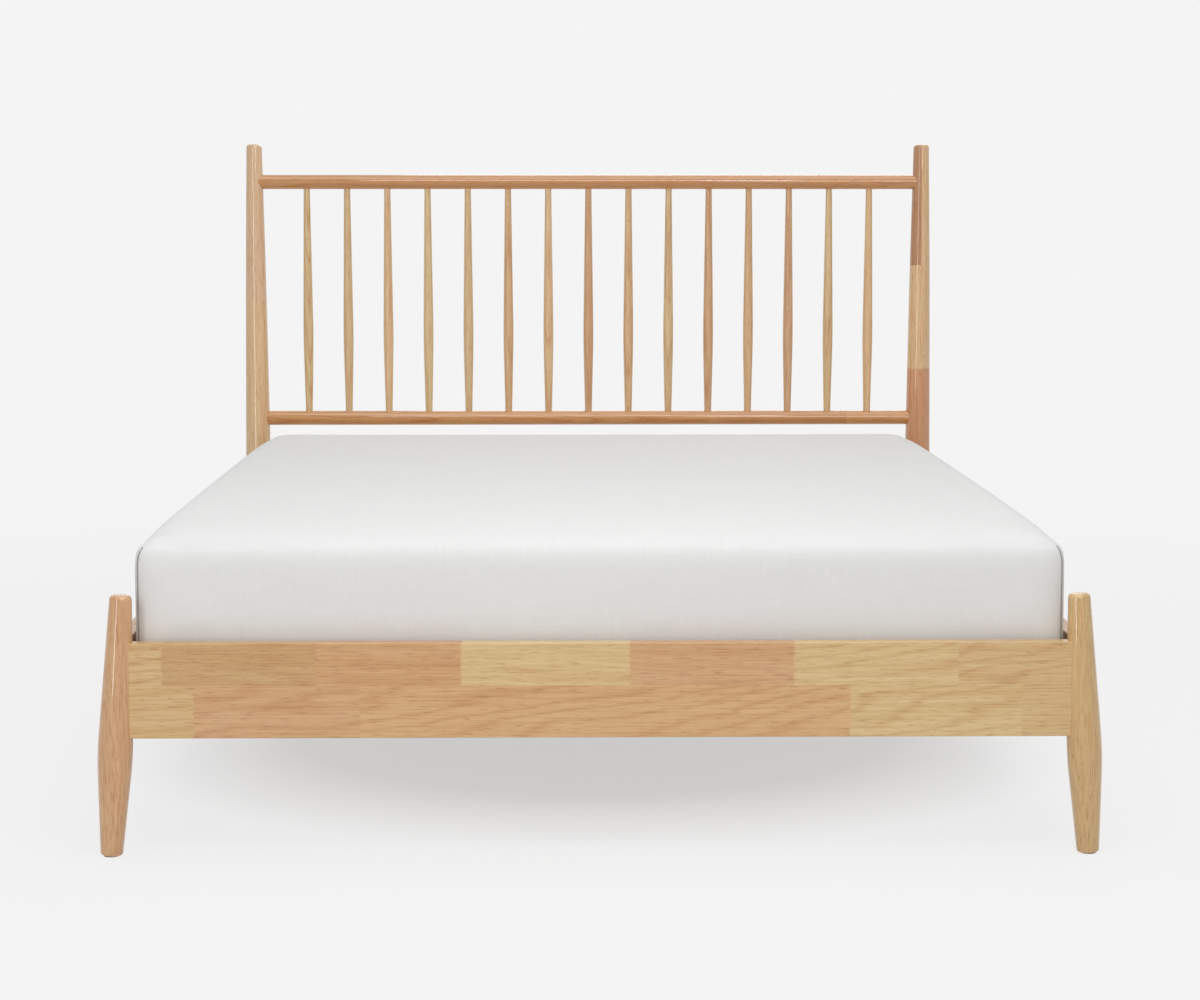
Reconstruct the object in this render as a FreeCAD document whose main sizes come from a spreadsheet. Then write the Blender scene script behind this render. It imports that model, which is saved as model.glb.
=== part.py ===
import FreeCAD, Part
import math
import os
import Sketcher

# Spindle bed in solid wood with a mattress. Millimetres. X runs across the bed, +Y towards the
# headboard, +Z up. The origin is on the floor, in the middle of the bed's outline.

doc = FreeCAD.newDocument("spindle_bed")
sheet = doc.addObject("Spreadsheet::Sheet", "dim")

# Every size that can be chosen by itself. Heights are above the floor.
SIZES = {
    # the four posts stand on two lines, one at the foot and one at the head
    "post_half_span": 795.2,
    "post_lines_apart": 2072,
    "foot_splay": 3.05,
    "foot_post_height": 436,
    "foot_post_floor_dia": 37.5,
    "foot_swell_height": 136,
    "foot_swell_dia": 55.2,
    "foot_knee_height": 169,
    "foot_knee_dia": 57.8,
    "foot_waist_height": 202,
    "foot_waist_dia": 56.5,
    "foot_post_top_dia": 37,
    "head_post_height": 1212,
    "head_post_floor_dia": 39,
    "head_swell_height": 145,
    "head_swell_dia": 56.6,
    "head_knee_height": 178,
    "head_knee_dia": 59,
    "head_waist_height": 430,
    "head_waist_dia": 60.2,
    "head_taper_height": 900,
    "head_taper_dia": 48.6,
    "head_post_top_dia": 36.9,
    "post_top_round": 8,
    "post_floor_round": 4.5,
    "post_planed": 1.1,
    "pad_thick": 2.5,
    "pad_dia": 26,
    # boards of the foot rail, head rail and side rails
    "board_thick": 27,
    "board_high": 158,
    "board_low": 198.7,
    "board_arris": 2,
    "foot_shoulder": 20,
    "head_shoulder": 26,
    "foot_seat": 13,
    "head_seat": 25,
    "housing_clear": 0.15,
    "tenon_thick": 13,
    "tenon_high": 76,
    "tenon_long": 14,
    "tenon_end_clear": 1,
    # headboard bars and spindles
    "bar_dia": 34,
    "top_bar_height": 1122.9,
    "low_bar_height": 559.2,
    "bar_tenon_dia": 22,
    "bar_tenon_short": 4,
    "cope_clear": 0.15,
    "spindle_count": 15,
    "spindle_end_gap": 123.9,
    "spindle_top_dia": 15,
    "spindle_belly_dia": 24.1,
    "spindle_belly_drop": 332,
    "spindle_belly_long": 36,
    "spindle_low_dia": 16.6,
    "socket_depth": 18,
    "socket_clear": 0.15,
    "socket_end_clear": 0.5,
    # slatted base
    "ledge_wide": 30,
    "ledge_high": 26,
    "ledge_top": 258,
    "ledge_end_gap": 45,
    "slat_count": 14,
    "slat_end_room": 23,
    "slat_wide": 75,
    "slat_thick": 18,
    "slat_end_gap": 2,
    "slat_arris": 3,
    "beam_thick": 32,
    "beam_high": 58,
    "beam_end_gap": 4,
    "saddle_plate": 2.5,
    "saddle_reach": 38,
    "saddle_flange": 24,
    "saddle_rise": 44,
    "saddle_clear": 0.3,
    "leg_side": 44,
    "leg_arris": 4,
    "leg_bolt_dia": 8,
    "leg_bolt_grip": 34,
    "bolt_clear": 0.2,
    "glide_stem_dia": 10,
    "glide_stem_long": 26,
    "glide_stem_clear": 0.05,
    "glide_foot_dia": 34,
    "glide_foot_thick": 8,
    "glide_gap": 0.5,
    # hook plates on the ends of the side rails, and the slotted plates in the posts
    "plate_wide": 20,
    "plate_high": 120,
    "plate_thick": 2.5,
    "plate_clear": 0.1,
    "hook_count": 2,
    "hook_apart": 54,
    "hook_low": -46,
    "hook_high": 21,
    "hook_lip": 8,
    "hook_reach": 9,
    "hook_clear": 0.3,
    "hook_room": 2,
    # mattress
    "mattress_side_gap": 5.7,
    "mattress_end_gap": 4,
    "mattress_thick": 256,
    "mattress_corner": 45,
    "mattress_clear": 0.3,
}
for row, (name, size) in enumerate(SIZES.items(), start=1):
    sheet.set(f"A{row}", name)
    sheet.set(f"B{row}", str(size))
    sheet.setAlias(f"B{row}", name)
doc.recompute()

# Places that several pieces share, as expressions on the sheet.
END_SHIFT = "((dim.head_waist_dia - dim.foot_knee_dia) / 4)"
HEAD_LINE = f"(dim.post_lines_apart / 2 - {END_SHIFT})"
FOOT_LINE = f"(-dim.post_lines_apart / 2 - {END_SHIFT})"
JOINT_HEIGHT = "(dim.board_low + dim.board_high / 2)"
SIDE_LONG = "(dim.post_lines_apart - dim.foot_seat - dim.head_seat)"
SIDE_MIDDLE = f"({FOOT_LINE} + dim.foot_seat + {SIDE_LONG} / 2)"
BASE_MIDDLE = f"(({FOOT_LINE} + {HEAD_LINE}) / 2)"
INNER_HALF = "(dim.post_half_span - dim.board_thick / 2)"
INNER_LONG = "(dim.post_lines_apart - dim.board_thick)"
SLAT_HALF = f"({INNER_HALF} - dim.slat_end_gap)"
BEAM_LOW = "(dim.ledge_top - dim.beam_high)"
SLAT_PITCH = f"(({INNER_LONG} - 2 * dim.slat_end_room - dim.slat_wide) / (dim.slat_count - 1))"
SLOT_TOP = "(dim.hook_lip + dim.hook_high + dim.hook_clear)"
SPINDLE_RUN = "(2 * (dim.post_half_span - dim.spindle_end_gap))"
SPINDLE_PITCH = f"({SPINDLE_RUN} / (dim.spindle_count - 1))"
SIDES = {"left": -1, "right": 1}
ENDS = {"foot": 1, "head": -1}
X_AXIS = FreeCAD.Vector(1, 0, 0)
Y_AXIS = FreeCAD.Vector(0, 1, 0)
Z_AXIS = FreeCAD.Vector(0, 0, 1)


def value(expression):
    """The number that an expression on the sheet gives now."""
    return float(sheet.evalExpression(expression))


def bind(target, **expressions):
    """Binds properties of an object to expressions. A double underscore stands for a dot."""
    for key, expression in expressions.items():
        target.setExpression(key.replace("__", "."), expression)


def new_body(label, x="0", y="0", z="0"):
    """An empty body whose own origin stands at x, y, z in the bed."""
    body = doc.addObject("PartDesign::Body", label)
    body.Label = label
    bind(body, Placement__Base__x=x, Placement__Base__y=y, Placement__Base__z=z)
    return body


def origin_of(body, role):
    return next(part for part in body.Origin.OriginFeatures if part.Role == role)


def sketch_on(body, plane, dx="0", dy="0", lift="0", turn="0"):
    """A sketch on one of the body's own planes, shifted in the plane, lifted off it and turned in it."""
    sketch = body.newObject("Sketcher::SketchObject", f"{body.Name}_sketch")
    sketch.AttachmentSupport = [(origin_of(body, plane), "")]
    sketch.MapMode = "FlatFace"
    bind(
        sketch,
        AttachmentOffset__Base__x=dx,
        AttachmentOffset__Base__y=dy,
        AttachmentOffset__Base__z=lift,
        AttachmentOffset__Rotation__Angle=turn,
    )
    return sketch


def tie(sketch, geometry, point, x, y):
    """Ties a point of the sketch to the expressions x and y."""
    rule = Sketcher.Constraint
    for kind, axis, expression in (("DistanceX", -2, x), ("DistanceY", -1, y)):
        if expression == "0":
            sketch.addConstraint(rule("PointOnObject", geometry, point, axis))
        else:
            index = sketch.addConstraint(rule(kind, -1, 1, geometry, point, value(expression)))
            sketch.setExpression(f"Constraints[{index}]", expression)


def draw_outline(sketch, corners):
    """A closed outline through corners given as x, y and, where the corner is rounded, a radius."""
    rule = Sketcher.Constraint
    flat = [FreeCAD.Vector(value(c[0]), value(c[1]), 0) for c in corners]
    count = len(corners)
    arrive = []
    leave = []
    arcs = []
    for i, corner in enumerate(corners):
        back = (flat[i - 1] - flat[i]).normalize()
        ahead = (flat[(i + 1) % count] - flat[i]).normalize()
        if len(corner) == 2:
            arrive.append(flat[i])
            leave.append(flat[i])
            arcs.append(None)
            continue
        radius = value(corner[2])
        half_open = back.getAngle(ahead) / 2
        run = radius / math.tan(half_open)
        arrive.append(flat[i] + back * run)
        leave.append(flat[i] + ahead * run)
        centre = flat[i] + (back + ahead).normalize() * (radius / math.sin(half_open))
        left_turn = back.cross(ahead).z < 0
        first, last = (arrive[i], leave[i]) if left_turn else (leave[i], arrive[i])
        angles = [math.atan2(p.y - centre.y, p.x - centre.x) for p in (first, last)]
        circle = Part.Circle(centre, FreeCAD.Vector(0, 0, 1), radius)
        arcs.append((Part.ArcOfCircle(circle, *angles), 1 if left_turn else 2, 2 if left_turn else 1))
    lines = []
    for i in range(count):
        start, end = leave[i], arrive[(i + 1) % count]
        lines.append(sketch.addGeometry(Part.LineSegment(start, end)))
    for i, corner in enumerate(corners):
        before, after = lines[i - 1], lines[i]
        if arcs[i] is None:
            sketch.addConstraint(rule("Coincident", before, 2, after, 1))
            tie(sketch, after, 1, corner[0], corner[1])
            continue
        shape, arc_start, arc_end = arcs[i]
        arc = sketch.addGeometry(shape)
        sketch.addConstraint(rule("Tangent", before, 2, arc, arc_start))
        sketch.addConstraint(rule("Tangent", arc, arc_end, after, 1))
        index = sketch.addConstraint(rule("Radius", arc, value(corner[2])))
        sketch.setExpression(f"Constraints[{index}]", corner[2])
        point = sketch.addGeometry(Part.Point(flat[i]), True)
        sketch.addConstraint(rule("PointOnObject", point, 1, before))
        sketch.addConstraint(rule("PointOnObject", point, 1, after))
        tie(sketch, point, 1, corner[0], corner[1])


def draw_box(sketch, x0, x1, y0, y1, radius=None):
    """A rectangle between two expressions each way, with rounded corners if a radius is given."""
    ends = [(x0, y0), (x1, y0), (x1, y1), (x0, y1)]
    draw_outline(sketch, [end + ((radius,) if radius else ()) for end in ends])


def draw_circle(sketch, x, y, diameter):
    """A circle with its centre and diameter tied to expressions."""
    centre = FreeCAD.Vector(value(x), value(y), 0)
    shape = Part.Circle(centre, FreeCAD.Vector(0, 0, 1), value(diameter) / 2)
    circle = sketch.addGeometry(shape)
    tie(sketch, circle, 3, x, y)
    index = sketch.addConstraint(Sketcher.Constraint("Diameter", circle, value(diameter)))
    sketch.setExpression(f"Constraints[{index}]", diameter)


def extrude(body, kind, sketch, length, both_ways=False, reverse=False):
    """A pad or a pocket of the sketch."""
    feature = body.newObject(f"PartDesign::{kind}", f"{body.Name}_{kind.lower()}")
    feature.Profile = sketch
    feature.SideType = "Symmetric" if both_ways else "One side"
    feature.Reversed = reverse
    bind(feature, Length=length)
    body.Tip = feature
    return feature


def revolve(body, sketch, kind="Revolution"):
    """A full turn of the sketch about its own upright axis."""
    feature = body.newObject(f"PartDesign::{kind}", f"{body.Name}_{kind.lower()}")
    feature.Profile = sketch
    feature.ReferenceAxis = (sketch, ["V_Axis"])
    feature.Angle = 360
    body.Tip = feature
    return feature


def repeat(body, feature, axis, run, count):
    """Repeats a feature in a straight row."""
    row_of = body.newObject("PartDesign::LinearPattern", f"{body.Name}_row")
    row_of.Originals = [feature]
    row_of.Direction = (origin_of(body, axis), [""])
    bind(row_of, Length=run, Occurrences=count)
    body.Tip = row_of
    return row_of


def mirror(body, features, plane):
    """Mirrors features about one of the body's own planes."""
    twin = body.newObject("PartDesign::Mirrored", f"{body.Name}_mirrored")
    twin.Originals = features
    twin.MirrorPlane = (origin_of(body, plane), [""])
    body.Tip = twin
    return twin


def turned_form(label, rings):
    """A turned solid through round rings, each a height and a diameter, with straight tapers
    between them. A long taper is made in even steps, each narrowing by a quarter at most."""
    stepped = [rings[0]]
    for ring in rings[1:]:
        low, wide = stepped[-1]
        steps = math.ceil(abs(math.log(ring[1] / wide)) / math.log(1.27)) or 1
        for step in range(1, steps + 1):
            share = step / steps
            stepped.append((low + (ring[0] - low) * share, wide + (ring[1] - wide) * share))
    wires = []
    for height, diameter in stepped:
        circle = Part.Circle(FreeCAD.Vector(0, 0, height), Z_AXIS, diameter / 2)
        wires.append(Part.Wire([circle.toBSpline().toShape()]))
    turned = doc.addObject("Part::Feature", label)
    turned.Label = label
    turned.Shape = Part.makeLoft(wires, True, True)
    return turned


def group(label, pattern, spots):
    """Like fasteners, each a link to one pattern body at x, y, z, turned about an axis by an angle."""
    links = []
    for x, y, z, axis, angle in spots:
        link = doc.addObject("App::Link", f"{label}_one")
        link.LinkedObject = pattern
        link.Placement = FreeCAD.Placement(FreeCAD.Vector(), FreeCAD.Rotation(axis, angle))
        bind(link, Placement__Base__x=x, Placement__Base__y=y, Placement__Base__z=z)
        links.append(link)
    joined = doc.addObject("Part::Compound", label)
    joined.Label = label
    joined.Links = links
    return joined


nodes = []


# Posts: turned on a lathe, with the body's origin in the middle of the board joints. Each is
# planed level above its floor pad, housed and mortised for its boards, and sunk for its plate.
def turned_post(end, side, splay):
    """A post turned to the sheet's rings for its end of the bed."""
    sign = SIDES[side]
    towards = ENDS[end]
    line = FOOT_LINE if end == "foot" else HEAD_LINE
    shoulder = f"dim.{end}_shoulder"
    seat = f"dim.{end}_seat"
    tilt = f"{-sign} * {splay}"

    body = new_body(f"{end}_post_{side}", f"{sign} * dim.post_half_span", line, JOINT_HEIGHT)
    body.Placement.Rotation = FreeCAD.Rotation(Y_AXIS, 1)
    bind(body, Placement__Rotation__Angle=tilt)

    # half of the turned outline, from the floor end to the top, both with their edges taken off
    floor_end = "(dim.pad_thick - dim.post_planed)"
    floor_half, top_half = f"dim.{end}_post_floor_dia / 2", f"dim.{end}_post_top_dia / 2"
    eased, rounded = "dim.post_floor_round", "dim.post_top_round"
    outline = [
        ("0", floor_end),
        (f"{floor_half} - {eased}", floor_end),
        (floor_half, f"{floor_end} + {eased}"),
    ]
    names = [f"{end}_{name}" for name in ("swell", "knee", "waist")]
    if end == "head":
        names.append("head_taper")
    outline += [(f"dim.{name}_dia / 2", f"dim.{name}_height") for name in names]
    top = f"dim.{end}_post_height"
    outline += [
        (top_half, f"{top} - {rounded}"),
        (f"{top_half} - {rounded} * (1 - cos(45))", f"{top} - {rounded} * (1 - sin(45))"),
        (f"{top_half} - {rounded}", top),
        ("0", top),
    ]
    turned = sketch_on(body, "XZ_Plane")
    draw_outline(turned, [(half, f"({height} - {JOINT_HEIGHT}) / cos({splay})") for half, height in outline])
    revolve(body, turned)

    # the level cut above the floor pad, wide enough to clear the splayed end
    floor_cut = sketch_on(body, "XZ_Plane", turn=tilt)
    over = "2 * dim.foot_knee_dia"
    draw_box(
        floor_cut, f"-{over}", over, f"-{JOINT_HEIGHT} - {over}", f"-{JOINT_HEIGHT} + dim.pad_thick"
    )
    extrude(body, "Pocket", floor_cut, f"2 * {over}", both_ways=True)

    # housing and mortise for the foot rail or head rail, on the inner side
    inward = -sign
    past = "dim.foot_knee_dia"
    housing = sketch_on(body, "XZ_Plane", turn=tilt)
    high = "(dim.board_high / 2 + dim.housing_clear)"
    near, far = sorted((f"{inward} * {shoulder}", f"{inward} * {past}"), key=value)
    draw_box(housing, near, far, f"-{high}", high)
    extrude(body, "Pocket", housing, "dim.board_thick + 2 * dim.housing_clear", both_ways=True)
    mortise = sketch_on(body, "XZ_Plane", turn=tilt)
    high = "(dim.tenon_high / 2 + dim.housing_clear)"
    deep = f"{inward} * ({shoulder} - dim.tenon_long - dim.tenon_end_clear)"
    near, far = sorted((deep, f"{inward} * {past}"), key=value)
    draw_box(mortise, near, far, f"-{high}", high)
    extrude(body, "Pocket", mortise, "dim.tenon_thick + 2 * dim.housing_clear", both_ways=True)

    # seat for the side rail, with a sinking for the slotted plate and room for the hooks behind it
    seat_lift = f"{-towards} * {seat}"
    housing = sketch_on(body, "XZ_Plane", lift=seat_lift, turn=tilt)
    high = "(dim.board_high / 2 + dim.housing_clear)"
    wide = "(dim.board_thick / 2 + dim.housing_clear)"
    draw_box(housing, f"-{wide}", wide, f"-{high}", high)
    extrude(body, "Pocket", housing, past, reverse=towards < 0)
    sinking = sketch_on(body, "XZ_Plane", lift=seat_lift, turn=tilt)
    high = "(dim.plate_high / 2 + dim.plate_clear)"
    wide = "(dim.plate_wide / 2 + dim.plate_clear)"
    draw_box(sinking, f"-{wide}", wide, f"-{high}", high)
    extrude(body, "Pocket", sinking, "dim.plate_thick", reverse=towards > 0)
    room = sketch_on(body, "XZ_Plane", lift=seat_lift, turn=tilt)
    wide = "(dim.plate_thick / 2 + dim.hook_room)"
    for number in range(int(value("dim.hook_count"))):
        low = f"dim.hook_low + {number} * dim.hook_apart"
        draw_box(room, f"-{wide}", wide, f"{low} - dim.hook_room", f"{low} + {SLOT_TOP}")
    extrude(body, "Pocket", room, "dim.hook_reach + dim.hook_room", reverse=towards > 0)
    return body


for side in SIDES:
    nodes.append(turned_post("foot", side, "dim.foot_splay"))
for side, sign in SIDES.items():
    post = turned_post("head", side, "0")
    for bar_height in ("dim.top_bar_height", "dim.low_bar_height"):
        socket = sketch_on(post, "YZ_Plane", lift=f"{sign} * dim.bar_tenon_short")
        level = f"{bar_height} - {JOINT_HEIGHT}"
        draw_circle(socket, "0", level, "dim.bar_tenon_dia + 2 * dim.cope_clear")
        extrude(post, "Pocket", socket, "dim.head_waist_dia", reverse=sign < 0)
    nodes.append(post)


# Headboard bars: plain round bars, scribed over the posts, with a turned tenon at each end
# and a row of blind sockets for the spindles.
def head_post_radius(height):
    """Radius of a head post between its waist and its top, at a height above the floor."""
    low, high = ("waist", "taper") if value(height) < value("dim.head_taper_height") else ("taper", "post")
    names = {"waist": "dim.head_waist", "taper": "dim.head_taper", "post": "dim.head_post"}
    wide = {"waist": "dim.head_waist_dia", "taper": "dim.head_taper_dia", "post": "dim.head_post_top_dia"}
    start = f"{names[low]}_height"
    share = f"(({height} - {start}) / ({names[high]}_height - {start}))"
    return f"(({wide[low]} + ({wide[high]} - {wide[low]}) * {share}) / 2)"


def headboard_bar(label, height, opens_down):
    bar = new_body(label, "0", HEAD_LINE, height)
    section = sketch_on(bar, "YZ_Plane")
    draw_circle(section, "0", "0", "dim.bar_dia")
    extrude(bar, "Pad", section, "2 * dim.post_half_span", both_ways=True)

    above = f"({height} + dim.bar_dia)"
    below = f"({height} - dim.bar_dia)"
    cope = sketch_on(bar, "XZ_Plane", dx="dim.post_half_span")
    corners = [
        ("0", "-dim.bar_dia"),
        (f"-({head_post_radius(below)} + dim.cope_clear)", "-dim.bar_dia"),
        (f"-({head_post_radius(above)} + dim.cope_clear)", "dim.bar_dia"),
        ("0", "dim.bar_dia"),
    ]
    draw_outline(cope, corners)
    scribed = revolve(bar, cope, "Groove")
    mirror(bar, [scribed], "YZ_Plane")

    tenon = sketch_on(bar, "YZ_Plane")
    draw_circle(tenon, "0", "0", "dim.bar_tenon_dia")
    tenon_reach = "2 * (dim.post_half_span + dim.bar_tenon_short - dim.tenon_end_clear)"
    extrude(bar, "Pad", tenon, tenon_reach, both_ways=True)

    sign = -1 if opens_down else 1
    end_dia = "dim.spindle_top_dia" if opens_down else "dim.spindle_low_dia"
    first = f"-{SPINDLE_RUN} / 2"
    floor_of = f"{sign} * (dim.bar_dia / 2 - dim.socket_depth - dim.socket_end_clear)"
    socket = sketch_on(bar, "XY_Plane", lift=floor_of)
    draw_circle(socket, first, "0", f"{end_dia} + 2 * dim.socket_clear")
    drilled = extrude(bar, "Pocket", socket, "dim.bar_dia", reverse=not opens_down)
    repeat(bar, drilled, "X_Axis", SPINDLE_RUN, "dim.spindle_count")
    return bar


nodes.append(headboard_bar("headboard_top_bar", "dim.top_bar_height", True))
nodes.append(headboard_bar("headboard_lower_bar", "dim.low_bar_height", False))

# Spindles: slim turnings, fullest two thirds of the way down, that go on tapering into the sockets.
# Their end diameters are those at the faces of the two bars.
low_face = value("dim.bar_dia / 2")
high_face = value("dim.top_bar_height - dim.low_bar_height - dim.bar_dia / 2")
belly = high_face - value("dim.spindle_belly_drop")
depth = value("dim.socket_depth")
low_dia, top_dia = value("dim.spindle_low_dia"), value("dim.spindle_top_dia")
belly_dia = value("dim.spindle_belly_dia")
belly_low = belly - value("dim.spindle_belly_long")
low_thinner = (belly_dia - low_dia) / (belly_low - low_face) * depth
top_thinner = (belly_dia - top_dia) / (high_face - belly) * depth
spindle_rings = [
    (low_face - depth, low_dia - low_thinner),
    (belly_low, belly_dia),
    (belly, belly_dia),
    (high_face + depth, top_dia - top_thinner),
]
for number in range(int(value("dim.spindle_count"))):
    spindle = turned_form(f"spindle_{number + 1:02d}", spindle_rings)
    bind(
        spindle,
        Placement__Base__x=f"({number} - (dim.spindle_count - 1) / 2) * {SPINDLE_PITCH}",
        Placement__Base__y=HEAD_LINE,
        Placement__Base__z="dim.low_bar_height",
    )
    nodes.append(spindle)


# Foot rail and head rail: boards with eased edges, let into the posts with a tenon at each end.
for end, towards in ENDS.items():
    line = FOOT_LINE if end == "foot" else HEAD_LINE
    rail = new_body(f"{end}_rail", "0", line, JOINT_HEIGHT)
    half_thick, half_high = "dim.board_thick / 2", "dim.board_high / 2"
    section = sketch_on(rail, "YZ_Plane")
    draw_box(section, f"-{half_thick}", half_thick, f"-{half_high}", half_high, "dim.board_arris")
    rail_long = f"2 * (dim.post_half_span - dim.{end}_shoulder)"
    extrude(rail, "Pad", section, rail_long, both_ways=True)
    tenon = sketch_on(rail, "YZ_Plane")
    half_thick, half_high = "dim.tenon_thick / 2", "dim.tenon_high / 2"
    draw_box(tenon, f"-{half_thick}", half_thick, f"-{half_high}", half_high)
    extrude(rail, "Pad", tenon, f"{rail_long} + 2 * dim.tenon_long", both_ways=True)
    nodes.append(rail)


# Side rails: the same board, with each end sunk for its hook plate.
for side, sign in SIDES.items():
    rail = new_body(f"side_rail_{side}", f"{sign} * dim.post_half_span", SIDE_MIDDLE, JOINT_HEIGHT)
    half_thick, half_high = "dim.board_thick / 2", "dim.board_high / 2"
    section = sketch_on(rail, "XZ_Plane")
    draw_box(section, f"-{half_thick}", half_thick, f"-{half_high}", half_high, "dim.board_arris")
    extrude(rail, "Pad", section, SIDE_LONG, both_ways=True)
    sinking = sketch_on(rail, "XZ_Plane", lift=f"{SIDE_LONG} / 2")
    wide, high = "(dim.plate_wide / 2 + dim.plate_clear)", "(dim.plate_high / 2 + dim.plate_clear)"
    draw_box(sinking, f"-{wide}", wide, f"-{high}", high)
    sunk = extrude(rail, "Pocket", sinking, "dim.plate_thick")
    mirror(rail, [sunk], "XZ_Plane")
    nodes.append(rail)


# Slat ledges: square battens screwed along the inner faces of the side rails.
LEDGE_X = f"({INNER_HALF} - dim.ledge_wide / 2)"
LEDGE_HEIGHT = "(dim.ledge_top - dim.ledge_high / 2)"
for side, sign in SIDES.items():
    ledge = new_body(f"slat_ledge_{side}", f"{sign} * {LEDGE_X}", SIDE_MIDDLE, LEDGE_HEIGHT)
    half_wide, half_high = "dim.ledge_wide / 2", "dim.ledge_high / 2"
    section = sketch_on(ledge, "XZ_Plane")
    draw_box(section, f"-{half_wide}", half_wide, f"-{half_high}", half_high)
    extrude(ledge, "Pad", section, f"{SIDE_LONG} - 2 * dim.ledge_end_gap", both_ways=True)
    nodes.append(ledge)


# Slats: boards across the bed with bevelled edges, laid on the ledges and the centre beam.
half_wide, half_thick = "dim.slat_wide / 2", "dim.slat_thick / 2"
inset_wide, inset_thick = f"({half_wide} - dim.slat_arris)", f"({half_thick} - dim.slat_arris)"
slat_corners = [
    (f"-{inset_wide}", f"-{half_thick}"),
    (inset_wide, f"-{half_thick}"),
    (half_wide, f"-{inset_thick}"),
    (half_wide, inset_thick),
    (inset_wide, half_thick),
    (f"-{inset_wide}", half_thick),
    (f"-{half_wide}", inset_thick),
    (f"-{half_wide}", f"-{inset_thick}"),
]
for number in range(int(value("dim.slat_count"))):
    along = f"{BASE_MIDDLE} + ({number} - (dim.slat_count - 1) / 2) * {SLAT_PITCH}"
    slat = new_body(f"slat_{number + 1:02d}", "0", along, "dim.ledge_top + dim.slat_thick / 2")
    section = sketch_on(slat, "YZ_Plane")
    draw_outline(section, slat_corners)
    extrude(slat, "Pad", section, f"2 * {SLAT_HALF}", both_ways=True)
    nodes.append(slat)


# Centre beam: a board on edge under the slats, hung on a steel saddle at each end and
# held up in the middle by the centre leg, which a double-ended bolt joins to it.
BEAM_LONG = f"({INNER_LONG} - 2 * (dim.saddle_plate + dim.beam_end_gap))"
beam = new_body("centre_beam", "0", BASE_MIDDLE, f"{BEAM_LOW} + dim.beam_high / 2")
half_thick, half_high = "dim.beam_thick / 2", "dim.beam_high / 2"
section = sketch_on(beam, "XZ_Plane")
draw_box(section, f"-{half_thick}", half_thick, f"-{half_high}", half_high)
extrude(beam, "Pad", section, BEAM_LONG, both_ways=True)
bolt_hole = sketch_on(beam, "XY_Plane", lift=f"-{half_high}")
draw_circle(bolt_hole, "0", "0", "dim.leg_bolt_dia + 2 * dim.bolt_clear")
extrude(beam, "Pocket", bolt_hole, "dim.leg_bolt_grip + dim.socket_end_clear", reverse=True)
nodes.append(beam)

for end, towards in ENDS.items():
    line = FOOT_LINE if end == "foot" else HEAD_LINE
    saddle = new_body(f"beam_saddle_{end}", "0", f"{line} + {towards} * dim.board_thick / 2", BEAM_LOW)
    inner = "(dim.beam_thick / 2 + dim.saddle_clear)"
    outer = f"({inner} + dim.saddle_plate)"
    channel = sketch_on(saddle, "XZ_Plane")
    corners = [
        (f"-{outer}", "-dim.saddle_plate"),
        (outer, "-dim.saddle_plate"),
        (outer, "dim.saddle_rise"),
        (inner, "dim.saddle_rise"),
        (inner, "0"),
        (f"-{inner}", "0"),
        (f"-{inner}", "dim.saddle_rise"),
        (f"-{outer}", "dim.saddle_rise"),
    ]
    draw_outline(channel, corners)
    extrude(saddle, "Pad", channel, "dim.saddle_reach", reverse=towards > 0)
    plate = sketch_on(saddle, "XZ_Plane")
    flange = f"({outer} + dim.saddle_flange)"
    draw_box(plate, f"-{flange}", flange, "-dim.saddle_plate", "dim.saddle_rise")
    extrude(saddle, "Pad", plate, "dim.saddle_plate", reverse=towards > 0)
    nodes.append(saddle)

# Centre leg: square, bored above for the bolt and below for the stem of the levelling glide.
LEG_LOW = "(dim.glide_foot_thick + dim.glide_gap)"
leg = new_body("centre_leg", "0", BASE_MIDDLE, LEG_LOW)
section = sketch_on(leg, "XY_Plane")
half_side = "dim.leg_side / 2"
draw_box(section, f"-{half_side}", half_side, f"-{half_side}", half_side, "dim.leg_arris")
extrude(leg, "Pad", section, f"{BEAM_LOW} - {LEG_LOW}")
bolt_hole = sketch_on(leg, "XY_Plane", lift=f"{BEAM_LOW} - {LEG_LOW}")
draw_circle(bolt_hole, "0", "0", "dim.leg_bolt_dia + 2 * dim.bolt_clear")
extrude(leg, "Pocket", bolt_hole, "dim.leg_bolt_grip + dim.socket_end_clear")
stem_hole = sketch_on(leg, "XY_Plane")
draw_circle(stem_hole, "0", "0", "dim.glide_stem_dia + 2 * dim.glide_stem_clear")
extrude(leg, "Pocket", stem_hole, "dim.glide_stem_long + dim.socket_end_clear", reverse=True)
nodes.append(leg)

leg_bolt = new_body("centre_leg_bolt", "0", BASE_MIDDLE, BEAM_LOW)
section = sketch_on(leg_bolt, "XY_Plane")
draw_circle(section, "0", "0", "dim.leg_bolt_dia")
extrude(leg_bolt, "Pad", section, "2 * dim.leg_bolt_grip", both_ways=True)
nodes.append(leg_bolt)

glide = new_body("levelling_glide", "0", BASE_MIDDLE, "0")
outline = sketch_on(glide, "XZ_Plane")
foot_half, stem_half = "dim.glide_foot_dia / 2", "dim.glide_stem_dia / 2"
corners = [
    ("0", "0"),
    (foot_half, "0"),
    (foot_half, "dim.glide_foot_thick"),
    (stem_half, "dim.glide_foot_thick"),
    (stem_half, f"{LEG_LOW} + dim.glide_stem_long"),
    ("0", f"{LEG_LOW} + dim.glide_stem_long"),
]
draw_outline(outline, corners)
revolve(glide, outline)
nodes.append(glide)


# Fittings at the four corners: a steel plate with two hooks in the end of the side rail drops
# into a slotted plate in the post.
def pattern_body(label):
    """A fitting that is drawn once and linked wherever it is used."""
    return new_body(f"pattern_{label}")


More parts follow.
